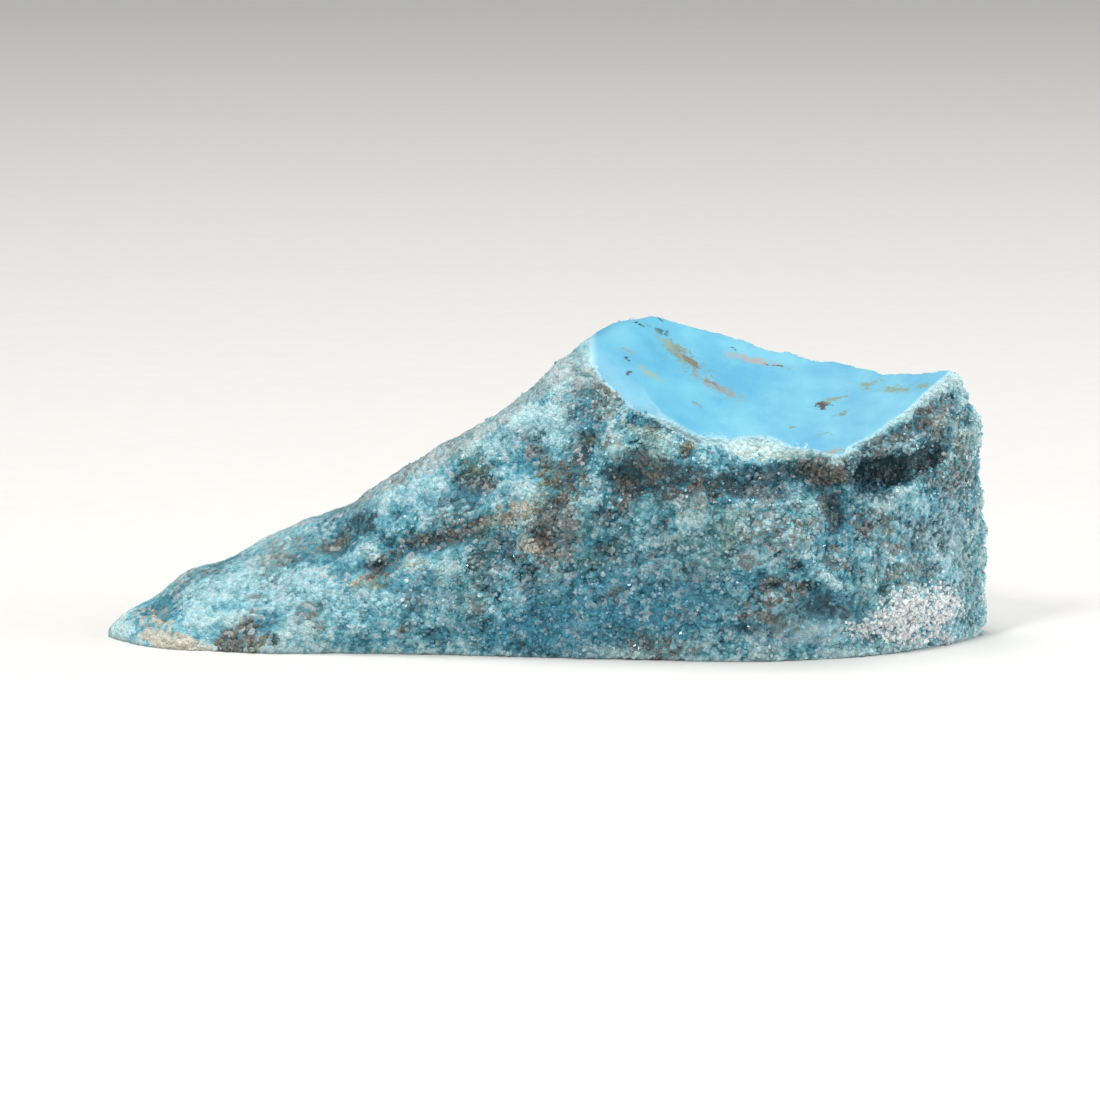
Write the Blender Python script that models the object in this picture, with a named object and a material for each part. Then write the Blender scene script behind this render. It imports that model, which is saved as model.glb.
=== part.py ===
"""Raw turquoise nugget: one wedge of stone with a rough, sugary skin and one ground hollow face.

X runs from the thin tip to the thick end, Y from the front to the back, and Z up.
The origin is under the middle of the stone, on the flat that it lies on.
"""

import math

import bmesh
import bpy
from mathutils import Matrix, Vector, noise

MM = 0.001

# Driving dimensions, in millimetres. Places are measured from the tip, the foremost edge and the flat.
LENGTH = 60.2
DEPTH = 19.6
UNDERSIDE_DROP = 1.5  # how far the rough block runs below the flat before it is trimmed
TRIM_SIZE = 90.0  # the block that trims the underside flat

STONE_COLOUR = (0.16, 0.39, 0.45, 1.0)  # dull blue-green, as a linear colour
STONE_ROUGHNESS = 0.6

# The ground face is a length of a drum's surface: the drum's axis leans up towards the back.
DRUM_RADIUS = 26.6
DRUM_LEAN = math.radians(24.0)
DRUM_LOWEST = Vector((47.5, 1.0, 14.0))  # a point of the face's deepest line, at the front
DRUM_LENGTH = 80.0
DRUM_SIDES = 180

# Cross-sections of the rough block, from the tip to the thick end. Each gives x, then (y, z) of
# the front foot, belly and shoulder, the crest, and the back shoulder, belly and foot.
SECTIONS = (
    (0.0, (9.1, 0.0), (9.1, 0.1), (9.2, 0.3), (9.5, 0.4), (9.8, 0.3), (9.9, 0.1), (9.9, 0.0)),
    (1.0, (7.7, 0.0), (7.8, 0.4), (8.5, 0.9), (9.7, 1.3), (10.8, 0.9), (11.4, 0.4), (11.5, 0.0)),
    (3.5, (5.5, 0.0), (5.7, 0.7), (7.9, 1.9), (10.6, 2.7), (12.4, 2.0), (13.5, 1.0), (13.8, 0.0)),
    (5.9, (4.5, 0.0), (4.7, 1.0), (7.4, 2.9), (11.1, 4.2), (13.2, 3.3), (14.8, 1.6), (15.2, 0.0)),
    (8.6, (3.9, 0.0), (4.1, 1.3), (7.2, 3.7), (11.2, 4.9), (14.2, 4.1), (15.8, 2.2), (16.4, 0.0)),
    (13.0, (3.7, 0.0), (3.7, 1.8), (7.6, 5.0), (12.2, 7.0), (15.4, 5.9), (17.2, 3.4), (17.8, 0.0)),
    (16.4, (3.7, 0.0), (3.5, 2.4), (7.0, 6.0), (12.2, 8.5), (15.7, 7.2), (17.8, 4.0), (18.4, 0.0)),
    (18.8, (3.6, 0.0), (3.3, 2.8), (6.2, 7.4), (10.6, 10.5), (15.2, 8.9), (17.9, 4.8), (18.7, 0.0)),
    (21.4, (3.4, 0.0), (3.0, 3.2), (5.2, 8.6), (9.0, 12.2), (14.4, 10.6), (18.0, 5.6), (19.0, 0.0)),
    (25.5, (2.9, 0.0), (2.4, 4.2), (4.2, 10.8), (7.4, 14.5), (13.6, 12.8), (18.0, 7.4), (19.3, 0.0)),
    (29.4, (2.4, 0.0), (1.6, 5.2), (3.3, 12.6), (7.2, 17.5), (13.4, 15.8), (18.2, 8.8), (19.6, 0.0)),
    (33.0, (2.0, 0.0), (1.0, 5.8), (3.0, 15.6), (7.9, 20.5), (13.5, 18.7), (18.4, 10.0), (19.6, 0.0)),
    (34.8, (1.8, 0.0), (0.9, 5.9), (2.6, 16.4), (9.4, 20.6), (13.3, 20.2), (18.3, 10.4), (19.6, 0.0)),
    (36.0, (1.7, 0.0), (0.7, 6.0), (2.1, 16.1), (10.0, 20.8), (13.0, 20.2), (18.2, 10.6), (19.5, 0.0)),
    (37.0, (1.6, 0.0), (0.6, 6.0), (1.6, 15.8), (10.6, 22.2), (13.3, 21.8), (18.1, 10.8), (19.4, 0.0)),
    (42.8, (1.0, 0.0), (0.1, 6.4), (0.9, 13.8), (7.0, 25.0), (13.4, 20.0), (17.4, 10.4), (18.8, 0.0)),
    (48.0, (1.6, 0.0), (0.6, 6.4), (1.2, 14.0), (6.4, 25.0), (12.3, 19.2), (16.6, 10.2), (18.0, 0.0)),
    (52.6, (3.3, 0.0), (2.6, 6.2), (3.1, 15.4), (6.2, 22.6), (9.3, 18.9), (14.8, 10.0), (16.6, 0.0)),
    (56.4, (5.8, 0.0), (5.2, 6.0), (5.6, 16.6), (6.8, 19.6), (8.2, 18.0), (12.6, 9.6), (14.6, 0.0)),
    (58.2, (7.4, 0.0), (6.8, 5.6), (7.0, 14.6), (7.6, 17.8), (8.8, 15.6), (11.4, 8.6), (13.2, 0.0)),
    (59.6, (9.2, 0.0), (8.7, 4.8), (8.9, 10.6), (9.4, 13.2), (10.2, 10.8), (11.2, 6.2), (11.8, 0.0)),
    (60.2, (10.1, 2.4), (9.9, 3.6), (10.0, 6.6), (10.2, 7.8), (10.5, 6.4), (10.8, 3.8), (10.7, 2.4)),
)
STATIONS = 86  # cross-sections along the finished skin
# Facets between named points, from the front foot over the crest to the back foot.
STEPS = (6, 10, 9, 8, 9, 8)

# The skin's own relief: domes with creases between them, as (width of a dome, rise), over broad waves.
DOMES = ((5.2, 0.85), (2.5, 0.55))
DOME_LEVEL = 0.5  # the share of a dome's width, from its middle, beyond which the skin dips
WAVE_WIDTH = 9.0
WAVE_RISE = 0.55
FULL_RELIEF_HEIGHT = 7.0  # the thin tip below this height has less relief
# The face's rolled end has no relief: start, end, reach.
SMOOTH_END = ((34.4, 4.6, 18.6), (35.8, 12.4, 21.4), 3.4)

# Swellings of the skin, and dents, whose rise is below zero: (centre, reach, rise).
SWELLS = (
    ((45.0, 0.5, 8.2), 6.5, 0.9),  # the mass that stands forward under the hollow
    ((54.6, 3.8, 3.2), 4.5, 0.5),  # the chalky lower corner
    ((49.4, 0.9, 5.9), 2.6, 0.6),  # the brow over the low pocket
    ((55.2, 4.2, 14.2), 1.6, 0.6),
    ((56.6, 5.2, 15.6), 1.5, 0.6),
    ((57.6, 6.4, 14.2), 1.6, 0.5),
    ((29.9, 1.8, 8.5), 1.5, -0.9),  # the dark hole in the middle of the front
    ((36.0, 1.4, 12.3), 2.6, -0.7),
    ((32.0, 3.0, 14.1), 1.6, -0.6),
    ((15.8, 8.2, 6.9), 2.2, -0.8),
    ((24.5, 5.2, 11.6), 1.8, -0.5),
    ((38.5, 15.8, 16.5), 4.2, -1.0),
    ((14.0, 16.3, 3.8), 3.4, -0.7),
    ((46.5, 17.0, 5.5), 5.5, 0.9),
    ((30.0, 18.6, 4.5), 6.0, 0.9),
    ((45.6, 13.5, 18.9), 2.4, -0.9),
    ((48.4, 12.5, 18.2), 1.7, 0.9),
)

# Grooves of the skin along a straight run, and ribs, whose rise is above zero: (start, end, reach, rise).
GROOVES = (
    ((42.0, 1.0, 12.6), (48.6, 0.9, 12.9), 2.2, -1.0),  # the band under the rim
    ((18.0, 5.2, 6.4), (25.4, 3.8, 8.3), 1.5, -0.7),  # a crack that climbs from the tip pocket
    ((33.0, 5.4, 18.6), (32.2, 3.2, 14.8), 1.9, -0.7),  # beside the face's rolled end
    ((35.0, 2.6, 17.0), (34.6, 1.9, 14.8), 1.8, 0.6),
    ((49.2, 1.0, 14.2), (50.0, 1.0, 12.3), 1.6, 1.3),  # the brown knob that hangs under the rim
    ((4.2, 5.6, 1.2), (7.4, 4.3, 1.0), 1.3, -0.4),
    ((7.6, 4.3, 0.9), (10.8, 4.0, 2.1), 1.6, -0.5),
    ((22.0, 18.2, 7.0), (41.0, 17.8, 10.6), 2.6, -1.1),  # a ledge along the back
    ((24.0, 15.0, 13.4), (31.0, 14.2, 16.6), 2.4, -0.8),
    ((58.6, 9.0, 13.0), (59.8, 10.6, 3.6), 2.0, -0.6),
)

# Hollows cut by worn pebbles: (name, centre, half-sizes along x, y and z, turn about y in degrees).
PEBBLE_ROUGHNESS = 0.2  # how far a pebble's skin wanders, as a share of its size
PEBBLE_WAVES = 1.7  # how many times it wanders over half its size
PEBBLES = (
    ("rim_hollow", (53.2, 2.6, 12.6), (3.3, 2.8, 1.3), -4.0),
    ("end_hollow", (56.0, 4.4, 13.2), (1.7, 1.8, 1.0), -14.0),
    ("left_hollow", (48.0, 0.4, 12.3), (1.8, 1.6, 0.9), 8.0),
    ("cleft", (49.6, 0.1, 10.5), (0.8, 2.1, 2.5), -6.0),
    ("low_pocket", (48.8, 0.2, 3.5), (2.1, 2.0, 1.0), -6.0),
    ("tip_pocket", (18.6, 4.6, 6.1), (1.4, 2.0, 1.1), -12.0),
    ("back_pocket", (27.4, 18.0, 7.8), (1.8, 1.6, 1.3), 15.0),
    ("front_chip", (43.9, 0.1, 16.4), (4.3, 3.2, 3.2), 0.0),
    ("small_front_chip", (46.4, 0.2, 15.9), (2.0, 2.3, 2.3), 0.0),
    ("back_chip", (49.3, 13.4, 22.95), (5.6, 4.6, 4.6), 0.0),
)


def from_tip(x, y, z):
    """A place in millimetres from the tip, the foremost edge and the flat, as metres from the origin."""
    return Vector((x - LENGTH / 2, y - DEPTH / 2, z)) * MM


def through(a, b, c, d, t):
    """The curve through b and c, at t from 0 to 1, with a and d as the points before and after."""
    return (
        b
        + (c - a) * (t / 2)
        + (2 * a - 5 * b + 4 * c - d) * (t * t / 2)
        + (3 * b - a - 3 * c + d) * (t**3 / 2)
    )


def section_outline(points):
    """One closed cross-section: the named points joined by a smooth curve, and a box under the flat."""
    ends = [2 * points[0] - points[1], *points, 2 * points[-1] - points[-2]]
    outline = []
    for i, steps in enumerate(STEPS):
        for step in range(steps):
            outline.append(through(*ends[i : i + 4], step / steps))
    drop = Vector((0, 0, -UNDERSIDE_DROP * MM))
    return [*outline, points[-1], points[-1] + drop, points[0] + drop]


def stations(rows):
    """Places along the sections, as a section and a share of the way to the next, evenly spread."""
    travel = [0.0]
    for near, far in zip(rows, rows[1:]):
        travel.append(travel[-1] + sum((b - a).length for a, b in zip(near, far)))
    for station in range(STATIONS + 1):
        goal = travel[-1] * station / STATIONS
        i = max(j for j in range(len(rows) - 1) if travel[j] <= goal)
        yield i, (goal - travel[i]) / (travel[i + 1] - travel[i])


def rough_block():
    """The stone before it is ground and trimmed: a loft through the cross-sections."""
    rows = [[from_tip(x, *point) for point in points] for x, *points in SECTIONS]
    padded = [rows[0], *rows, rows[-1]]
    mesh = bmesh.new()
    rings = []
    for i, t in stations(rows):
        points = [through(*column, t) for column in zip(*padded[i : i + 4])]
        rings.append([mesh.verts.new(point) for point in section_outline(points)])
    for near, far in zip(rings, rings[1:]):
        for k in range(len(near)):
            mesh.faces.new((near[k], near[k - 1], far[k - 1], far[k]))
    mesh.faces.new(rings[0])
    mesh.faces.new(reversed(rings[-1]))
    bmesh.ops.recalc_face_normals(mesh, faces=mesh.faces)
    return mesh


def nearness(place, start, end, reach):
    """1 on the run from start to end, falling smoothly to 0 at its reach."""
    run = end - start
    along = min(max((place - start).dot(run) / (run.length_squared or 1), 0), 1)
    share = max(1 - (place - start - run * along).length / reach, 0)
    return share * share * (3 - 2 * share)


def rise_at(place):
    """How far the skin stands out from the smooth block at a place in metres, in metres."""
    rise = WAVE_RISE * noise.noise(place / (WAVE_WIDTH * MM))
    for width, height in DOMES:
        nearest = noise.voronoi(place / (width * MM))[0][0]
        rise += height * (DOME_LEVEL - nearest)
    rise *= min(1, (place.z / MM + 1) / FULL_RELIEF_HEIGHT)
    start, end, reach = SMOOTH_END
    rise *= 1 - nearness(place, from_tip(*start), from_tip(*end), reach * MM)
    for centre, reach, height in SWELLS:
        centre = from_tip(*centre)
        rise += height * nearness(place, centre, centre, reach * MM)
    for start, end, reach, height in GROOVES:
        rise += height * nearness(place, from_tip(*start), from_tip(*end), reach * MM)
    return rise * MM


def roughen(mesh):
    """Raises the relief on the block, then brings it to its exact length and depth about the origin."""
    mesh.normal_update()
    moves = [vertex.normal * rise_at(vertex.co) for vertex in mesh.verts]
    for vertex, move in zip(mesh.verts, moves):
        vertex.co += move
    for axis, size in ((0, LENGTH), (1, DEPTH)):
        low = min(vertex.co[axis] for vertex in mesh.verts)
        high = max(vertex.co[axis] for vertex in mesh.verts)
        for vertex in mesh.verts:
            vertex.co[axis] = ((vertex.co[axis] - low) / (high - low) - 0.5) * size * MM


def new_object(name, mesh, collection):
    data = bpy.data.meshes.new(name)
    mesh.to_mesh(data)
    mesh.free()
    made = bpy.data.objects.new(name, data)
    collection.objects.link(made)
    return made


def drum(collection):
    """The grinding drum, whose surface leaves the hollow blue face."""
    mesh = bmesh.new()
    bmesh.ops.create_cone(
        mesh,
        cap_ends=True,
        segments=DRUM_SIDES,
        radius1=DRUM_RADIUS * MM,
        radius2=DRUM_RADIUS * MM,
        depth=DRUM_LENGTH * MM,
    )
    made = new_object("grinding_drum", mesh, collection)
    turn = Matrix.Rotation(math.radians(-90) + DRUM_LEAN, 4, "X")
    up = turn @ Vector((0, -1, 0))
    made.matrix_world = Matrix.Translation(from_tip(*DRUM_LOWEST) + up * DRUM_RADIUS * MM) @ turn
    return made


def pebble(name, centre, half_sizes, turn, collection):
    """A worn pebble, whose shape is left as a hollow or a chip where it cuts the stone."""
    mesh = bmesh.new()
    bmesh.ops.create_icosphere(mesh, subdivisions=3, radius=1)
    middle = from_tip(*centre)
    for vertex in mesh.verts:
        wander = noise.noise(vertex.co * PEBBLE_WAVES + middle / MM)
        vertex.co *= 1 + PEBBLE_ROUGHNESS * wander
        vertex.co = Vector(part * half for part, half in zip(vertex.co, half_sizes)) * MM
    made = new_object(name, mesh, collection)
    made.location = middle
    made.rotation_euler.y = math.radians(turn)
    return made


def trim_block(collection):
    mesh = bmesh.new()
    bmesh.ops.create_cube(mesh, size=TRIM_SIZE * MM)
    made = new_object("underside_trim", mesh, collection)
    made.location.z = -TRIM_SIZE * MM / 2
    return made


def cut(stone, cutter):
    cutter.hide_render = True
    cutter.display_type = "WIRE"
    modifier = stone.modifiers.new("cut by " + cutter.name, "BOOLEAN")
    modifier.operation = "DIFFERENCE"
    modifier.object = cutter


def stone_material():
    made = bpy.data.materials.new("raw turquoise")
    made.use_nodes = True
    shader = made.node_tree.nodes["Principled BSDF"]
    shader.inputs["Base Color"].default_value = STONE_COLOUR
    shader.inputs["Roughness"].default_value = STONE_ROUGHNESS
    shader.inputs["Metallic"].default_value = 0.0
    made.diffuse_color = STONE_COLOUR
    return made


def main():
    for old in list(bpy.data.objects):
        bpy.data.objects.remove(old)
    shown = bpy.data.collections.new("turquoise nugget")
    cutters = bpy.data.collections.new("cutters")
    for collection in (shown, cutters):
        bpy.context.scene.collection.children.link(collection)

    block = rough_block()
    roughen(block)
    stone = new_object("turquoise_nugget", block, shown)
    stone.data.materials.append(stone_material())
    cut(stone, drum(cutters))
    for name, centre, half_sizes, turn in PEBBLES:
        cut(stone, pebble(name, centre, half_sizes, turn, cutters))
    cut(stone, trim_block(cutters))


main()
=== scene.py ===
"""Raw turquoise nugget: the fine stone, its crystal grains, their finishes and the photo stage.

Everything is in metres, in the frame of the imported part: X runs from the thin tip to the thick
end, Y from the front to the back, Z up, and the origin is under the middle of the stone.
"""

import math
from functools import partial

import bmesh
import bpy
import numpy as np
from bpy.props import FloatProperty, IntProperty, PointerProperty
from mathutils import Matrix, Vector, noise


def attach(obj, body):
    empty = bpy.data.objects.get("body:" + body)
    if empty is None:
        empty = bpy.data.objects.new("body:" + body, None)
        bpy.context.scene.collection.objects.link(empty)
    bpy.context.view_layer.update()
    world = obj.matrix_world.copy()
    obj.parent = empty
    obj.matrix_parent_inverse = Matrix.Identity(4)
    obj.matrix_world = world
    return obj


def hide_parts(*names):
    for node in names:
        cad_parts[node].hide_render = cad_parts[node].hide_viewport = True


bl_info = {
    "name": "Raw turquoise nugget",
    "version": (1, 0, 0),
    "blender": (4, 5, 0),
    "location": "3D View > Sidebar > Turquoise",
    "description": "Dresses a raw turquoise nugget with its sugary skin, its ground face and its grains",
    "category": "Object",
}

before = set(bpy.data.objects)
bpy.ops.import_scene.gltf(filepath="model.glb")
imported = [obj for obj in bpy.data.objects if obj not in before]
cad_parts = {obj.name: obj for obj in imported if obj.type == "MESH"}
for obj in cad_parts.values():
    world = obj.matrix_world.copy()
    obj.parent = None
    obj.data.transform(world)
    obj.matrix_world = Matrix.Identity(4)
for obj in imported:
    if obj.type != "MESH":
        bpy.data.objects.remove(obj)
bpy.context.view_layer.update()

MM = 0.001
NODE = "turquoise_nugget"
BODY = "root"
STONE = "nugget_stone"
BODY_COLOUR = "turquoise body colour"
MOST_TRIANGLES = 200000  # of one piece

# The kinds of node used most, and the setting of a soft range.
MATH, VECTOR, MIX = "ShaderNodeMath", "ShaderNodeVectorMath", "ShaderNodeMix"
NOISE, CELLS, RANGE = "ShaderNodeTexNoise", "ShaderNodeTexVoronoi", "ShaderNodeMapRange"
RANDOM = "FunctionNodeRandomValue"
SMOOTH = {"interpolation_type": "SMOOTHSTEP"}

# The stone's own sizes in millimetres, as in its solid. The ground face lies on a drum, whose lowest
# point here is given from the tip, the front and the flat.
LENGTH = 60.2
DEPTH = 19.6
CORNER = np.array((LENGTH / 2, DEPTH / 2, 0.0))
DRUM_RADIUS = 26.6
DRUM_LEAN = math.radians(24.0)
DRUM_LOWEST = (47.5, 1.0, 14.0)

# Smoothing: how near the drum and how high a point of the ground face lies, how low one of the flat,
# in millimetres, and how far each round takes a point towards its neighbours' mean.
NEAR_DRUM = 0.11
FACE_ABOVE = 12.0
FLAT_BELOW = 0.05
FACE_ROUNDS = 3
EASE = 0.5

# The ground face's left end rolls over: up to the first place from the tip it is rolled, from the
# second on it lies true on the drum. Its foot is its front edge on the drawing board.
ROLL_ENDS = (36.3, 38.2)
ROLL_ABOVE = 16.0
ROLL_ROUNDS = 70
ROLL_FOOT = ((33.4, 33.7, 36.1, 38.4, 41.0), (20.2, 19.4, 17.2, 16.4, 15.3))

# The masks' soft steps, each from where it is 0 to where it is 1: places and heights in millimetres,
# tilts as shares of the normal.
FADES = {
    "stain": (1.35, 0.55),
    "front": (-0.15, 0.15),
    "roll tilt": (0.30, 0.62),
    "roll back": (0.42, 0.22),
    "roll start": (32.4, 33.6),
    "roll end": (41.0, 38.0),
    "roll height": (15.5, 16.5),
    "roll foot": (-0.1, 0.25),
    "ground facing": (0.6, 0.9),
    "rim": (0.75, 0.12),
    "skin off the face": (0.05, 0.7),
    "skin off the flat": (0.0, 0.15),
    "skin from the tip": (-14.0, 26.0),
    "slope tilt": (0.25, 0.6),
    "slope end": (36.0, 32.0),
    "grains on the skin": (0.35, 0.85),
    "grains off the flat": (0.18, 0.30),
}
RIM_ABOVE = 11.5  # the face and its rim lie higher than this, in millimetres
FACE_WITHIN = 0.4  # and within this of the drum
RIM_TILT = 0.9
FAR_OFF = 9.0
# How much of its relief the skin loses under the crust, on pale spots and on the back of the slope.
CRUST_CALM, PALE_CALM, SLOPE_CALM = 0.75, 0.5, 0.6
# The stone's general shape is its own after this many rounds; standing this far out of it, in
# millimetres, makes a full crest.
BROAD_ROUNDS = 60
FULL_CREST = 0.25

# The drawing board stands square to the viewing line, and the places on it are in millimetres.
VIEW_ELEVATION = math.radians(12.0)
VIEW_AHEAD = np.array((0.0, math.cos(VIEW_ELEVATION), -math.sin(VIEW_ELEVATION)))
VIEW_UP = np.array((0.0, math.sin(VIEW_ELEVATION), math.cos(VIEW_ELEVATION)))
VIEW_DISTANCE = 0.40
VIEW_WIDTH = 0.0748  # the width of the view at the aim
VIEW_AIM = (30.33, 9.2, 6.05)  # from the tip, the front and the flat
BOARD_CENTRE = (30.33, 7.82)  # the aim's place on the board

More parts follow.
